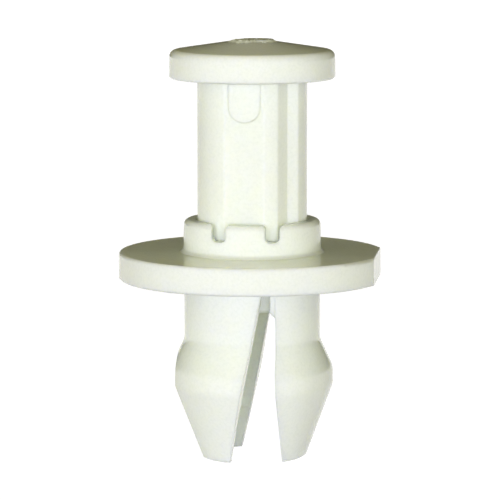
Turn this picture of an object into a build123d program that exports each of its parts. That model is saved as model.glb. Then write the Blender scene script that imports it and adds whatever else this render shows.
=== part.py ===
from build123d import *
from math import sqrt
import os

# A two-piece push rivet in natural nylon, for a round hole in a panel, in millimetres.
# The grommet is one moulding: a flange, a notched collar above it and two hollow legs below it.
# The pin is the other: a domed head on a fluted shank, which slides down the grommet's bore.
# The pin stands raised, as the rivet is supplied.
#
# Z is the axis of both pieces, with the head at the top. The origin is on the axis, in the plane
# of the flange's underside, which bears on the panel. Both moulds open along Y, so the notches,
# the slot between the legs and the flutes of the shank all lie along Y and repeat at the back.

# Running fits
bore_clearance = 0.08       # radial gap between the shank and the bore
head_stop_gap = 0.05        # left between the head and the collar when the pin is home
overrun = 1.0               # how far every cut runs past the surface that it opens

# Pin: shank
shank_radius = 3.1
shank_tip_depth = 1.66      # the raised pin's tip below the underside of the flange
shank_tip_chamfer = 0.15
flute_left = -1.23          # the shallow front flute, from its left edge to the rib
flute_depth = 0.45
rib_width = 0.75            # the raised rib between the flute and the groove
rib_edge_round = 0.17
groove_width = 1.02         # the groove beside the rib, with a plane face on its far side
groove_shoulder = 0.36      # from that face to the side of the shank
groove_floor_offset = 0.44  # from the rib to the deepest line of the groove
groove_depth = 0.46         # below the round of the shank, at that line
flute_edge_round = 0.2

# Pin: the U-shaped ejector pad at the top of the front flute
pad_width = 1.8
pad_height = 2.3
pad_setback = 0.17          # of the pad's face behind the front line of the shank

# Pin: head
head_radius = 4.68
head_underside = 11.38      # the raised head's underside above the underside of the flange
head_rim_height = 1.54
head_rim_round = 0.42
head_lower_chamfer = 0.1
head_dome_rise = 0.62       # of the dome's flat top above the rim
head_dome_top_radius = 0.7
gate_boss_radius = 0.95     # the low boss that the gate left on top of the dome, off its middle
gate_boss_offset = 0.25
gate_boss_rise = 0.015
gate_nub_radius = 0.1       # the torn end of the gate, in the middle of the boss
gate_nub_rise = 0.05

# Grommet: flange
flange_radius = 7.55
flange_thickness = 1.55
flange_edge_round = 0.15
flange_lower_chamfer = 0.1
gate_flat_distance = 7.1    # from the axis to the flat where the gate was, at +X

# Grommet: collar
collar_wall = 0.73
collar_height = 1.85        # above the flange
collar_draft = 0.05         # the collar is this much smaller in radius at its top
collar_edge_round = 0.3
collar_root_chamfer = 0.17
notch_offset = 1.5          # from the axis to the middle of each notch
notch_width = 0.8
notch_depth = 0.94
notch_floor_round = 0.3
notch_mouth_round = 0.22

# Grommet: body and legs
body_wall = 0.67
body_length = 3.43          # the plain round below the flange, which fills the panel's hole
bulge_rise = 0.74           # of the widest part beyond that round
bulge_run = 1.6             # height of the cone that leads out to it
bulge_land = 0.95           # height of the widest part
bulge_root_round = 0.8      # where the cone leaves the plain round
bulge_edge_round = 1.2      # at either end of the widest part
legs_length = 10.15         # from the underside of the flange to the tips
leg_tip_inset = 0.79        # the tips stand this far inside the plain round
leg_tip_wall = 0.69
leg_tip_chamfer = 0.12
leg_relief = 0.42           # depth of the flat on the back of the left leg, at its widest part
leg_tip_relief = 0.52       # and at its tip

# Grommet: slot between the legs
slot_top_left = 0.98        # the slot widens from its top edges to its edges at the tips
slot_top_right = 1.62
slot_turn_right = 1.75      # its right side turns outwards level with the cones of the legs
slot_tip_left = -0.97
slot_tip_right = 1.97
slot_skew = 0.16            # its left side stands this much further right at the back
corner_web_width = 0.27     # the thin web left in the slot's top right corner
corner_web_height = 1.52
corner_web_slant = 0.28
corner_web_setback = 0.27   # of the web's face behind the plain round

# Sizes that follow from those above
bore_radius = shank_radius + bore_clearance
collar_radius = bore_radius + collar_wall
body_radius = bore_radius + body_wall
bulge_radius = body_radius + bulge_rise
leg_tip_radius = body_radius - leg_tip_inset
collar_top = flange_thickness + collar_height
bulge_top = -(body_length + bulge_run)
bulge_bottom = bulge_top - bulge_land
leg_taper = (bulge_radius - leg_tip_radius) / (legs_length + bulge_bottom)
cavity_tip_radius = leg_tip_radius - leg_tip_wall
cavity_turn = -legs_length + (bore_radius - cavity_tip_radius) / leg_taper
groove_right = shank_radius - groove_shoulder
rib_right = groove_right - groove_width
rib_left = rib_right - rib_width
pin_travel = head_underside - collar_top - head_stop_gap
shank_tip = -shank_tip_depth
nose_turn = cavity_turn + pin_travel
nose_tip_radius = shank_radius - leg_taper * (nose_turn - shank_tip)
head_rim_top = head_underside + head_rim_height
head_dome_top = head_rim_top + head_dome_rise
slot_reach = bulge_radius + overrun


def round_corner(sketch, corner, radius):
    """Rounds the corner of a sketch that stands nearest to this point."""
    fillet(sketch.vertices().sort_by_distance(corner)[0], radius=radius)


def bevel_corner(sketch, corner, length):
    """Cuts off the corner of a sketch that stands nearest to this point."""
    chamfer(sketch.vertices().sort_by_distance(corner)[0], length=length)


def front_of_shank(x):
    """The point of the shank's round, seen from above, at x on its front side."""
    return (x, -sqrt(shank_radius**2 - x**2))


def slot_outline(left_shift):
    """The slot's outline seen from the front, with its left side moved right by this much."""
    Polyline(
        (slot_top_left + left_shift, 0),
        (slot_top_right, 0),
        (slot_turn_right, bulge_bottom),
        (slot_tip_right, -legs_length),
        (slot_tip_right, -legs_length - overrun),
        (slot_tip_left + left_shift, -legs_length - overrun),
        (slot_tip_left + left_shift, -legs_length),
        close=True,
    )


# The grommet, turned about the axis, with its bore left for later
collar_corner = (collar_radius - collar_draft, collar_top)
collar_root = (collar_radius, flange_thickness)
flange_corner = (flange_radius, flange_thickness)
flange_lower_corner = (flange_radius, 0)
bulge_root = (body_radius, -body_length)
bulge_upper_corner = (bulge_radius, bulge_top)
bulge_lower_corner = (bulge_radius, bulge_bottom)
leg_tip_corner = (leg_tip_radius, -legs_length)

with BuildPart() as grommet:
    with BuildSketch(Plane.XZ) as grommet_half:
        with BuildLine():
            Polyline(
                (0, collar_top),
                collar_corner,
                collar_root,
                flange_corner,
                flange_lower_corner,
                (body_radius, 0),
                bulge_root,
                bulge_upper_corner,
                bulge_lower_corner,
                leg_tip_corner,
                (0, -legs_length),
                close=True,
            )
        make_face()
        round_corner(grommet_half, collar_corner, collar_edge_round)
        bevel_corner(grommet_half, collar_root, collar_root_chamfer)
        round_corner(grommet_half, flange_corner, flange_edge_round)
        bevel_corner(grommet_half, flange_lower_corner, flange_lower_chamfer)
        round_corner(grommet_half, bulge_root, bulge_root_round)
        round_corner(grommet_half, bulge_upper_corner, bulge_edge_round)
        round_corner(grommet_half, bulge_lower_corner, bulge_edge_round)
        bevel_corner(grommet_half, leg_tip_corner, leg_tip_chamfer)
    revolve(axis=Axis.Z)

    # The slot runs through front and back, from the underside of the flange to the tips, and
    # parts the larger left leg from the right one. It is a little narrower at the back.
    with BuildSketch(Plane.XZ.offset(slot_reach)):
        with BuildLine():
            slot_outline(0)
        make_face()
    with BuildSketch(Plane.XZ.offset(-slot_reach)):
        with BuildLine():
            slot_outline(slot_skew)
        make_face()
    loft(ruled=True, mode=Mode.SUBTRACT)

    # A thin web is left in the slot's top right corner, behind the face of the body.
    with BuildSketch(Plane.XZ):
        with BuildLine():
            Polyline(
                (slot_top_right - corner_web_width, 0),
                (slot_top_right + corner_web_width, 0),
                (slot_top_right + corner_web_width, -corner_web_height - corner_web_slant),
                (slot_top_right, -corner_web_height - corner_web_slant),
                (slot_top_right - corner_web_width, -corner_web_height),
                close=True,
            )
        make_face()
    extrude(amount=sqrt(body_radius**2 - slot_top_right**2) - corner_web_setback, both=True)

    # The back of the left leg is relieved by a flat, down the widest part and the cone below it.
    with BuildSketch(Plane.XZ):
        with BuildLine():
            Polyline(
                (leg_relief - bulge_radius, -body_length),
                (leg_relief - bulge_radius, bulge_bottom),
                (leg_tip_relief - leg_tip_radius, -legs_length),
                (leg_tip_relief - leg_tip_radius, -legs_length - overrun),
                (-bulge_radius - overrun, -legs_length - overrun),
                (-bulge_radius - overrun, -body_length),
                close=True,
            )
        make_face()
    extrude(amount=bulge_radius + overrun, both=True, mode=Mode.SUBTRACT)

    # The flat on the flange's rim, where the gate was
    with BuildSketch(Plane.YZ.offset(gate_flat_distance)):
        with Locations((0, flange_thickness / 2)):
            Rectangle(2 * flange_radius, flange_thickness + 2 * overrun)
    extrude(amount=flange_radius, mode=Mode.SUBTRACT)

    # The bore, plain down to the cones of the legs, then narrowing with them
    with BuildSketch(Plane.XZ):
        with BuildLine():
            Polyline(
                (0, collar_top + overrun),
                (bore_radius, collar_top + overrun),
                (bore_radius, cavity_turn),
                (cavity_tip_radius, -legs_length),
                (cavity_tip_radius, -legs_length - overrun),
                (0, -legs_length - overrun),
                close=True,
            )
        make_face()
    revolve(axis=Axis.Z, mode=Mode.SUBTRACT)

    # Two slots across the top of the collar make its four notches, rounded at mouth and floor.
    with BuildSketch(Plane.XZ) as notches:
        for middle in (-notch_offset, notch_offset):
            with Locations((middle, collar_top)):
                Rectangle(notch_width, 2 * notch_depth)
                Rectangle(
                    notch_width + 2 * notch_mouth_round + notch_depth,
                    notch_depth,
                    align=(Align.CENTER, Align.MIN),
                )
        fillet(notches.vertices().group_by(Axis.Y)[0], radius=notch_floor_round)
        for middle in (-notch_offset, notch_offset):
            for side in (-notch_width / 2, notch_width / 2):
                round_corner(notches, (middle + side, collar_top), notch_mouth_round)
    extrude(amount=collar_radius + overrun, both=True, mode=Mode.SUBTRACT)

grommet.part.label = "grommet"


# What is cut from the round of the shank, seen from above: the shallow flute and, beyond the rib,
# the groove, at the front and again at the back
flute_middle = (flute_left + rib_left) / 2
groove_floor = rib_right + groove_floor_offset

with BuildSketch() as flutes:
    with BuildLine():
        ThreePointArc(
            front_of_shank(flute_left),
            (flute_middle, front_of_shank(flute_middle)[1] + flute_depth),
            front_of_shank(rib_left),
        )
        Polyline(
            front_of_shank(rib_left),
            (rib_left, -shank_radius - overrun),
            (flute_left, -shank_radius - overrun),
            front_of_shank(flute_left),
        )
    make_face()
    with BuildLine():
        Polyline(
            front_of_shank(rib_right),
            (groove_floor, front_of_shank(groove_floor)[1] + groove_depth),
            front_of_shank(groove_right),
            (groove_right, -shank_radius - overrun),
            (rib_right, -shank_radius - overrun),
            close=True,
        )
    make_face()
    mirror(about=Plane.XZ)

# The pin: a shank of one section with a narrower nose, and a head turned on top of it
head_top_corner = (head_radius, head_rim_top)
head_lower_corner = (head_radius, head_underside)
dome_edge = (head_dome_top_radius, head_dome_top)

with BuildPart() as pin:
    with BuildSketch(Plane.XY.offset(shank_tip)) as shank_section:
        Circle(shank_radius)
        add(flutes.sketch, mode=Mode.SUBTRACT)
        for x, edge_round in (
            (flute_left, flute_edge_round),
            (rib_left, rib_edge_round),
            (rib_right, rib_edge_round),
            (groove_right, flute_edge_round),
        ):
            front = front_of_shank(x)
            back = (front[0], -front[1])
            round_corner(shank_section, front, edge_round)
            round_corner(shank_section, back, edge_round)
    extrude(amount=head_underside - shank_tip)

    # The nose narrows as the cavity between the legs does, and clears it when the pin is home.
    with BuildSketch(Plane.XZ):
        with BuildLine():
            Polyline(
                (nose_tip_radius - shank_tip_chamfer, shank_tip),
                (nose_tip_radius, shank_tip + shank_tip_chamfer),
                (shank_radius, nose_turn),
                (shank_radius + overrun, nose_turn),
                (shank_radius + overrun, shank_tip - overrun),
                (nose_tip_radius - shank_tip_chamfer, shank_tip - overrun),
                close=True,
            )
        make_face()
    revolve(axis=Axis.Z, mode=Mode.SUBTRACT)

    # The U-shaped pad lies in the front flute, right under the head.
    with BuildSketch(Plane.XZ.offset(shank_radius - pad_setback)):
        with Locations((flute_middle, head_underside)):
            Rectangle(pad_width, pad_height - pad_width / 2, align=(Align.CENTER, Align.MAX))
        with Locations((flute_middle, head_underside - pad_height + pad_width / 2)):
            Circle(pad_width / 2)
    extrude(amount=-flute_depth)

    with BuildSketch(Plane.XZ) as head_half:
        with BuildLine():
            Polyline(
                dome_edge,
                (0, head_dome_top),
                (0, head_underside),
                head_lower_corner,
                head_top_corner,
                close=True,
            )
        make_face()
        round_corner(head_half, head_top_corner, head_rim_round)
        bevel_corner(head_half, head_lower_corner, head_lower_chamfer)
    revolve(axis=Axis.Z)

    # The gate boss on the dome, with the torn end of the gate in its middle
    with BuildSketch(Plane.XY.offset(head_rim_top)):
        with Locations((gate_boss_offset, 0)):
            Circle(gate_boss_radius)
    extrude(amount=head_dome_rise + gate_boss_rise)
    with BuildSketch(Plane.XY.offset(head_dome_top)):
        with Locations((gate_boss_offset, 0)):
            Circle(gate_nub_radius)
    extrude(amount=gate_boss_rise + gate_nub_rise)

pin.part.label = "pin"

os.makedirs("parts", exist_ok=True)
export_step(grommet.part, "parts/grommet.step")
export_step(pin.part, "parts/pin.step")

print(f"pin travel {pin_travel:.3f} mm, collar top {collar_top:.3f} mm")
print(f"widest part {2 * bulge_radius:.2f} mm across, body {2 * body_radius:.2f} mm across")
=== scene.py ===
from math import cos, pi, radians, sin, sqrt
import bpy
import numpy as np
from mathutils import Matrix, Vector


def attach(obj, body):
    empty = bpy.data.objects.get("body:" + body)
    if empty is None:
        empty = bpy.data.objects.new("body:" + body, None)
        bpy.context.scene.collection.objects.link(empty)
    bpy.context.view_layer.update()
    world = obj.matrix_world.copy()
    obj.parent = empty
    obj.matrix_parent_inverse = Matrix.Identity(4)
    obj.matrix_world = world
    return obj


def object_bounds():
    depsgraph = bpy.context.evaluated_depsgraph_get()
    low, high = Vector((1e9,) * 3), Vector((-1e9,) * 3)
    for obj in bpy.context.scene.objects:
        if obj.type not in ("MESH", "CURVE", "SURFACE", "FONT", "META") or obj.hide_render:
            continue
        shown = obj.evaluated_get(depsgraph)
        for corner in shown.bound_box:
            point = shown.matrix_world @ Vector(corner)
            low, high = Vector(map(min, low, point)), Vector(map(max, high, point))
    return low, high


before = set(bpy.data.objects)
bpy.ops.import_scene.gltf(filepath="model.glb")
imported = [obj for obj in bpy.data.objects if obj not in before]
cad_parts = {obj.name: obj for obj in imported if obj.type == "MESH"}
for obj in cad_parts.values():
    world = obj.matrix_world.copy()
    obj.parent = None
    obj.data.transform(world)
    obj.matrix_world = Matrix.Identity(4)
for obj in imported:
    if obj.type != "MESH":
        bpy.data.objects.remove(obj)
cadLow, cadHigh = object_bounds()

mm = 0.001  # everything is in metres
mixShare, mixFirst, mixSecond, mixResult = 0, 6, 7, 2   # sockets of a colour mix


def linearColour(hexCode):
    # sRGB hex to the linear values that Blender's sockets take
    parts = [int(hexCode[i:i + 2], 16) / 255 for i in (1, 3, 5)]
    lifted = [p / 12.92 if p <= 0.04045 else ((p + 0.055) / 1.055) ** 2.4 for p in parts]
    return (*lifted, 1.0)


def addNode(tree, kind, settings=None, links=None):
    # One node, with its plain settings, its socket values and the sockets that feed it
    node = tree.nodes.new(kind)
    for name, value in (settings or {}).items():
        if isinstance(name, int) or name in node.inputs:
            node.inputs[name].default_value = value
        else:
            setattr(node, name, value)
    for name, source in (links or {}).items():
        tree.links.new(source, node.inputs[name])
    return node


def newMaterial(name):
    material = bpy.data.materials.new(name)
    material.use_nodes = True
    material.node_tree.nodes.clear()
    return material, material.node_tree


def outward(azimuth, elevation):
    # The direction at so many degrees to the right of the front and above the horizon
    a, e = radians(azimuth), radians(elevation)
    return Vector((sin(a) * cos(e), -cos(a) * cos(e), sin(e)))


def placeFacing(name, data, spot, target):
    # A camera or a lamp at a spot, turned to face the target
    thing = bpy.data.objects.new(name, data)
    bpy.context.collection.objects.link(thing)
    thing.location = spot
    thing.rotation_mode = "QUATERNION"
    thing.rotation_quaternion = (target - thing.location).to_track_quat("-Z", "Y")
    return thing


# Camera: where the photograph was taken from, fitted to the outlines of the flange and the head
cameraSet = {
    "azimuth": 6.3,                 # degrees to the right of the front
    "elevation": 8.05,              # degrees above the flange
    "focalPixels": 3434,            # a long lens, in pixels of the frame
    "framePixels": 500,
    "pixelSize": 0.05673 * mm,      # one pixel at the flange
    "originPixel": (252.2, 277.9),  # where the origin of the shared frame shows
    "sensorWidth": 36,              # in millimetres, as Blender takes it
    "clip": (0.01, 20),
}


def buildCamera(s):
    back = outward(s["azimuth"], s["elevation"])
    right = outward(s["azimuth"] + 90, 0)
    up = back.cross(right)
    half = s["framePixels"] / 2
    offset = right * (half - s["originPixel"][0]) + up * (s["originPixel"][1] - half)
    target = offset * s["pixelSize"]    # the point that shows in the middle of the frame
    data = bpy.data.cameras.new("camera")
    data.sensor_width = s["sensorWidth"]
    data.lens = s["sensorWidth"] * s["focalPixels"] / s["framePixels"]
    data.clip_start, data.clip_end = s["clip"]
    distance = s["focalPixels"] * s["pixelSize"]
    bpy.context.scene.camera = placeFacing("camera", data, back * distance, target)


buildCamera(cameraSet)
print("camera placed")

# Studio: a strong soft light low in front, two warm ones at the sides, fill from below, from
# behind and from above, and a dim room. The front, side and back lamps light the part but are
# not mirrored in it, so its skin shows no hard highlights.
studioSet = {
    "roomColour": "#3A382A",
    "roomStrength": 0.3,
    "floorColour": "#8C8C8A",   # for the light that falls on it
    "glowColour": "#FFFFFF",    # for the eye and for reflections
    "floorGlow": 0.96,
    "floorSize": 6.0,
    # name: azimuth, elevation, distance, width, height, power, colour, mirrored
    "lamps": {
        "mainLamp": (0, 3, 0.50, 0.50, 0.12, 2.76, "#EAEAFF", False),
        "leftLamp": (-76, 22, 0.50, 0.36, 0.26, 0.64, "#FFFFDC", False),
        "rightLamp": (67, 22, 0.50, 0.36, 0.26, 0.58, "#FFFFDC", False),
        "lowLamp": (0, -40, 0.50, 0.60, 0.30, 0.64, "#EDEDFF", True),
        "rearLamp": (180, -30, 0.50, 0.60, 0.30, 1.70, "#EDEDFF", True),
        "backLamp": (180, 3, 0.50, 0.50, 0.12, 1.50, "#EDEDFF", False),
        "highLamp": (0, 45, 0.50, 0.60, 0.30, 0.09, "#FFFF9A", True),
        "topLamp": (0, 88, 0.50, 0.50, 0.50, 0.28, "#FFE79D", True),
    },
}


def buildLamp(name, azimuth, elevation, distance, width, height, power, colour, mirrored):
    data = bpy.data.lights.new(name, "AREA")
    data.shape = "RECTANGLE"
    data.size, data.size_y = width, height
    data.energy = power
    data.color = linearColour(colour)[:3]
    lamp = placeFacing(name, data, outward(azimuth, elevation) * distance, Vector())
    lamp.visible_camera = False
    lamp.visible_glossy = mirrored


def buildFloor(s, height):
    # A square plane at the tips of the legs, which shows white and still takes a soft shadow
    half = s["floorSize"] / 2
    mesh = bpy.data.meshes.new("floor")
    mesh.from_pydata([(-half, -half, height), (half, -half, height), (half, half, height),
                      (-half, half, height)], [], [(0, 1, 2, 3)])
    floor = bpy.data.objects.new("floor", mesh)
    bpy.context.collection.objects.link(floor)
    floor.visible_shadow = False    # the low lamps shine through it
    material, tree = newMaterial("paleFloor")
    path = addNode(tree, "ShaderNodeLightPath")
    seen = addNode(tree, "ShaderNodeMath", {"operation": "MAXIMUM"},
                   {0: path.outputs["Is Camera Ray"], 1: path.outputs["Is Glossy Ray"]})
    shown = addNode(tree, "ShaderNodeMath", {"operation": "MAXIMUM"},
                    {0: seen.outputs[0], 1: path.outputs["Is Transmission Ray"]})
    strength = addNode(tree, "ShaderNodeMath", {"operation": "MULTIPLY", 1: s["floorGlow"]},
                       {0: shown.outputs[0]})
    glow = addNode(tree, "ShaderNodeEmission", {"Color": linearColour(s["glowColour"])},
                   {"Strength": strength.outputs[0]})
    card = addNode(tree, "ShaderNodeBsdfDiffuse", {"Color": linearColour(s["floorColour"])})
    both = addNode(tree, "ShaderNodeAddShader", None, {0: glow.outputs[0], 1: card.outputs[0]})
    addNode(tree, "ShaderNodeOutputMaterial", None, {"Surface": both.outputs[0]})
    mesh.materials.append(material)


def buildStudio(s):
    for name, values in s["lamps"].items():
        buildLamp(name, *values)
    world = bpy.data.worlds.new("studio")
    bpy.context.scene.world = world
    world.use_nodes = True
    tree = world.node_tree
    tree.nodes.clear()
    room = addNode(tree, "ShaderNodeBackground",
                   {"Color": linearColour(s["roomColour"]), "Strength": s["roomStrength"]})
    addNode(tree, "ShaderNodeOutputWorld", None, {"Surface": room.outputs[0]})
    buildFloor(s, cadLow.z)


buildStudio(studioSet)
bpy.context.scene.view_settings.view_transform = "Standard"
print("studio lit")

# Natural nylon, injection moulded: a milky resin that light enters and leaves softly, with the
# faint yellow-green of undyed resin and a faint darker speckle, painted in place of the fine
# glints of the glossy skin. The smooth steel of the mould leaves a skin shiny enough for the
# flange to mirror the collar, with a fine grain and soft sink marks.
nylonSet = {
    "colour": "#F6FBE8",                # the two tones that the resin drifts between
    "shade": "#F3F9E3",
    "glintSpeckle": "#DDE5CE",                 # a darker speckle painted in place of the fine glints of the glossy skin
    "glintSpeckleRange": (0.42, 0.70),         # of the grain's noise, from no speck to a full one
    "glintSpeckleShare": 0.22,                 # of the speck's colour in a full one
    "roughness": (0.14, 0.17),          # in the smoothest and the dullest patches
    "scuffRange": (0.38, 0.66),         # of the scuffs' noise, from the smoothest to the dullest
    "ior": 1.53,
    "scatterDepth": 0.9 * mm,
    "scatterShare": 0.6,
    "scatterColours": (1.0, 0.96, 0.70),
    "sinkHeight": 0.008 * mm,
    "grainHeight": 0.006 * mm,
    "edgeRound": 0.15 * mm,
    "edgeSamples": 6,
    # size, detail and roughness of each noise
    "noises": {
        "drift": (2.4 * mm, 3.0, 0.5),      # of the tone
        "scuff": (1.6 * mm, 5.0, 0.6),      # patches rubbed dull by other rivets in the bag
        "sink": (2.4 * mm, 1.0, 0.4),       # hollows where thick walls drew in as they cooled
        "grain": (0.16 * mm, 2.0, 0.6),     # the mould's own, under 0.05 mm, is too fine to show; it also places the painted speckle
    },
}


def nylonMaterial(name, s):
    material, tree = newMaterial(name)
    place = addNode(tree, "ShaderNodeTexCoord")
    noise = {}
    for kind, (size, detail, rough) in s["noises"].items():
        added = addNode(tree, "ShaderNodeTexNoise",
                        {"Scale": 1 / size, "Detail": detail, "Roughness": rough},
                        {"Vector": place.outputs["Object"]})
        noise[kind] = added.outputs["Fac"]
    tone = addNode(tree, "ShaderNodeMix",
                   {"data_type": "RGBA", mixFirst: linearColour(s["colour"]),
                    mixSecond: linearColour(s["shade"])},
                   {mixShare: noise["drift"]})
    # painted speckle: darker specks standing in for the fine glints of the glossy skin
    glintSpeckles = addNode(tree, "ShaderNodeMapRange",
                     {"From Min": s["glintSpeckleRange"][0], "From Max": s["glintSpeckleRange"][1],
                      "To Max": s["glintSpeckleShare"]},
                     {"Value": noise["grain"]})
    resin = addNode(tree, "ShaderNodeMix",
                    {"data_type": "RGBA", mixSecond: linearColour(s["glintSpeckle"])},
                    {mixShare: glintSpeckles.outputs[0], mixFirst: tone.outputs[mixResult]})
    dull = addNode(tree, "ShaderNodeMapRange",
                   {"From Min": s["scuffRange"][0], "From Max": s["scuffRange"][1],
                    "To Min": s["roughness"][0], "To Max": s["roughness"][1]},
                   {"Value": noise["scuff"]})
    rounded = addNode(tree, "ShaderNodeBevel",
                      {"samples": s["edgeSamples"], "Radius": s["edgeRound"]})
    hollow = addNode(tree, "ShaderNodeBump", {"Distance": s["sinkHeight"]},
                     {"Height": noise["sink"], "Normal": rounded.outputs[0]})
    bump = addNode(tree, "ShaderNodeBump", {"Distance": s["grainHeight"]},
                   {"Height": noise["grain"], "Normal": hollow.outputs[0]})
    shader = addNode(tree, "ShaderNodeBsdfPrincipled", {
        "IOR": s["ior"],
        "Subsurface Weight": s["scatterShare"],
        "Subsurface Radius": s["scatterColours"],
        "Subsurface Scale": s["scatterDepth"],
    }, {
        "Base Color": resin.outputs[mixResult],
        "Roughness": dull.outputs[0],
        "Normal": bump.outputs[0],
    })
    addNode(tree, "ShaderNodeOutputMaterial", None, {"Surface": shader.outputs[0]})
    return material


nylon = nylonMaterial("naturalNylonMoulded", nylonSet)
for nodeName in ("grommet", "pin"):
    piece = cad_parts[nodeName]
    piece.data.materials.clear()
    piece.data.materials.append(nylon)
print("nylon on both mouldings")

# Gate scar: the torn stub where the runner broke off the top of the head
scarSet = {
    "centre": (0.06 * mm, -0.06 * mm),
    "radius": 1.40 * mm,
    # lobes of the outline: count, depth as a share of the radius, phase
    "outline": ((2, 0.10, 0.6), (3, 0.07, 2.1), (5, 0.04, 4.0), (9, 0.025, 1.2),
                (17, 0.016, 0.3), (29, 0.012, 2.7)),
    "rings": 72,
    "segments": 288,
    "seed": 11,
    "top": 13.558 * mm,                 # height of the torn face
    "limit": 13.600 * mm,               # nothing stands higher
    "base": 13.30 * mm,                 # the stub's root, inside the head
    "headTop": 13.54 * mm,              # the head's flat top, its radius and the slope around it
    "headTopRadius": 0.7 * mm,
    "headSlope": 0.156,
    "sunk": 0.015 * mm,                 # how far the edge goes under the skin of the head
    "waves": 26,
    "waveSizes": (0.16 * mm, 0.75 * mm),
    "waveHeight": 0.0098 * mm,          # of all the waves together
    "lip": 0.030 * mm,                  # the frayed lip along the front edge
    "lipAt": 0.74,                      # its place and width, as shares of the radius
    "lipWidth": 0.06,
    "frays": 19,
    "frayBunches": 4,                   # around the edge, and how closely the frays crowd there
    "frayCrowding": 2.2,
    "frontPast": 0.15,                  # how far the frayed front reaches around the sides
    "edge": 0.60,                       # where the torn face starts to fall, a share of the radius
    "edgeFray": 0.12,                   # and how much further out it starts in the frays
    "nick": (1.42 * mm, -0.02 * mm, 0.15 * mm, 0.12 * mm),   # x, y, radius, depth
    # the torn face's tone, darker and greener than the moulded skin, is painted shade; the raised
    # parts turn white, partly stress whitening and partly a painted highlight
    "colour": "#D6D9C0",
    "whiteningAndHighlight": "#F1F3E6",
    "whiteningAndHighlightRange": (13.568 * mm, 13.590 * mm),   # of height, from the one colour to the other
    "roughness": 0.62,
    "ior": 1.53,
    "grain": (0.09 * mm, 3.0, 0.7),     # size, detail and roughness of its noise
    "grainHeight": 0.02 * mm,
}


def buildScar(s):
    # Polar height field. Height = torn face + waves, each a sine along its own direction, + a lip
    # that frays along the front, - a nick at the right; past the edge it eases down to the skin
    # of the head and a little under it, then drops to a flat base inside the head
    rng = np.random.default_rng(s["seed"])
    share = np.linspace(0, 1, s["rings"] + 1)[1:, None]
    angle = np.linspace(0, 2 * pi, s["segments"], endpoint=False)[None, :]
    reach = 1 + sum(a * np.sin(n * angle + p) for n, a, p in s["outline"])
    x = s["centre"][0] + s["radius"] * share * reach * np.cos(angle)
    y = s["centre"][1] + s["radius"] * share * reach * np.sin(angle)

    torn = np.full_like(x, s["top"])
    for size in np.geomspace(*s["waveSizes"], s["waves"]):
        heading, phase = rng.uniform(0, 2 * pi, 2)
        along = x * np.cos(heading) + y * np.sin(heading)
        torn += s["waveHeight"] / sqrt(s["waves"]) * np.sin(2 * pi * along / size + phase)
    front = np.sqrt(np.clip(s["frontPast"] - np.sin(angle), 0, 1))
    crowding = s["frayCrowding"] * np.sin(s["frayBunches"] * angle)
    fray = 0.5 + 0.5 * np.sin(s["frays"] * angle + crowding)
    ridge = np.exp(-((share - s["lipAt"]) / s["lipWidth"]) ** 2)
    torn += s["lip"] * front * fray * ridge
    nickX, nickY, nickRadius, nickDepth = s["nick"]
    torn -= nickDepth * np.exp(-((x - nickX) ** 2 + (y - nickY) ** 2) / nickRadius ** 2)
    torn = np.minimum(torn, s["limit"])

    downhill = np.maximum(np.hypot(x, y) - s["headTopRadius"], 0)
    skin = s["headTop"] - s["headSlope"] * downhill - s["sunk"]
    start = s["edge"] + s["edgeFray"] * fray * front
    fall = np.clip((share - start) / (1 - start), 0, 1)
    fall = fall * fall * (3 - 2 * fall)     # eased at both ends
    z = torn * (1 - fall) + skin * fall

    middle = np.array([[*s["centre"], z[0].mean()]])
    shell = np.stack([x, y, z], axis=-1).reshape(-1, 3)
    foot = np.stack([x[-1], y[-1], np.full(s["segments"], s["base"])], axis=-1)
    bottom = np.array([[*s["centre"], s["base"]]])
    points = np.concatenate([middle, shell, foot, bottom])

    here = np.arange(s["segments"])
    after = (here + 1) % s["segments"]
    inner = 1 + np.arange(s["rings"])[:, None] * s["segments"]
    outer = inner + s["segments"]
    quads = np.stack([inner + here, outer + here, outer + after, inner + after], axis=-1)
    cap = np.stack([np.zeros_like(here), 1 + here, 1 + after], axis=-1)
    last = outer[-1]
    under = np.stack([np.full_like(here, len(points) - 1), last + after, last + here], axis=-1)
    faces = [*quads.reshape(-1, 4).tolist(), *cap.tolist(), *under.tolist()]
    mesh = bpy.data.meshes.new("gateScar")
    mesh.from_pydata(points, [], faces)
    mesh.shade_smooth()
    scar = bpy.data.objects.new("gateScar", mesh)
    bpy.context.collection.objects.link(scar)
    return scar


# Natural nylon, torn: matt; darker and yellower in the pits, which is painted shade; white where
# it stands up, partly the stress whitening of torn nylon and partly a painted highlight on the
# frayed front lip
def tornMaterial(name, s):
    material, tree = newMaterial(name)
    place = addNode(tree, "ShaderNodeTexCoord")
    split = addNode(tree, "ShaderNodeSeparateXYZ", None, {"Vector": place.outputs["Object"]})
    # tone by height: painted shade low in the pits, stress whitening and a painted highlight on
    # the raised lip
    raised = addNode(tree, "ShaderNodeMapRange",
                     {"From Min": s["whiteningAndHighlightRange"][0], "From Max": s["whiteningAndHighlightRange"][1]},
                     {"Value": split.outputs["Z"]})
    tone = addNode(tree, "ShaderNodeMix",
                   {"data_type": "RGBA", mixFirst: linearColour(s["colour"]),
                    mixSecond: linearColour(s["whiteningAndHighlight"])},
                   {mixShare: raised.outputs[0]})
    size, detail, rough = s["grain"]
    grain = addNode(tree, "ShaderNodeTexNoise",
                    {"Scale": 1 / size, "Detail": detail, "Roughness": rough},
                    {"Vector": place.outputs["Object"]})
    bump = addNode(tree, "ShaderNodeBump", {"Distance": s["grainHeight"]},
                   {"Height": grain.outputs["Fac"]})
    shader = addNode(tree, "ShaderNodeBsdfPrincipled",
                     {"Roughness": s["roughness"], "IOR": s["ior"]},
                     {"Base Color": tone.outputs[mixResult], "Normal": bump.outputs[0]})
    addNode(tree, "ShaderNodeOutputMaterial", None, {"Surface": shader.outputs[0]})
    return material


scar = buildScar(scarSet)
scar.data.materials.append(tornMaterial("naturalNylonTorn", scarSet))
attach(scar, "pin")
print("gate scar torn")
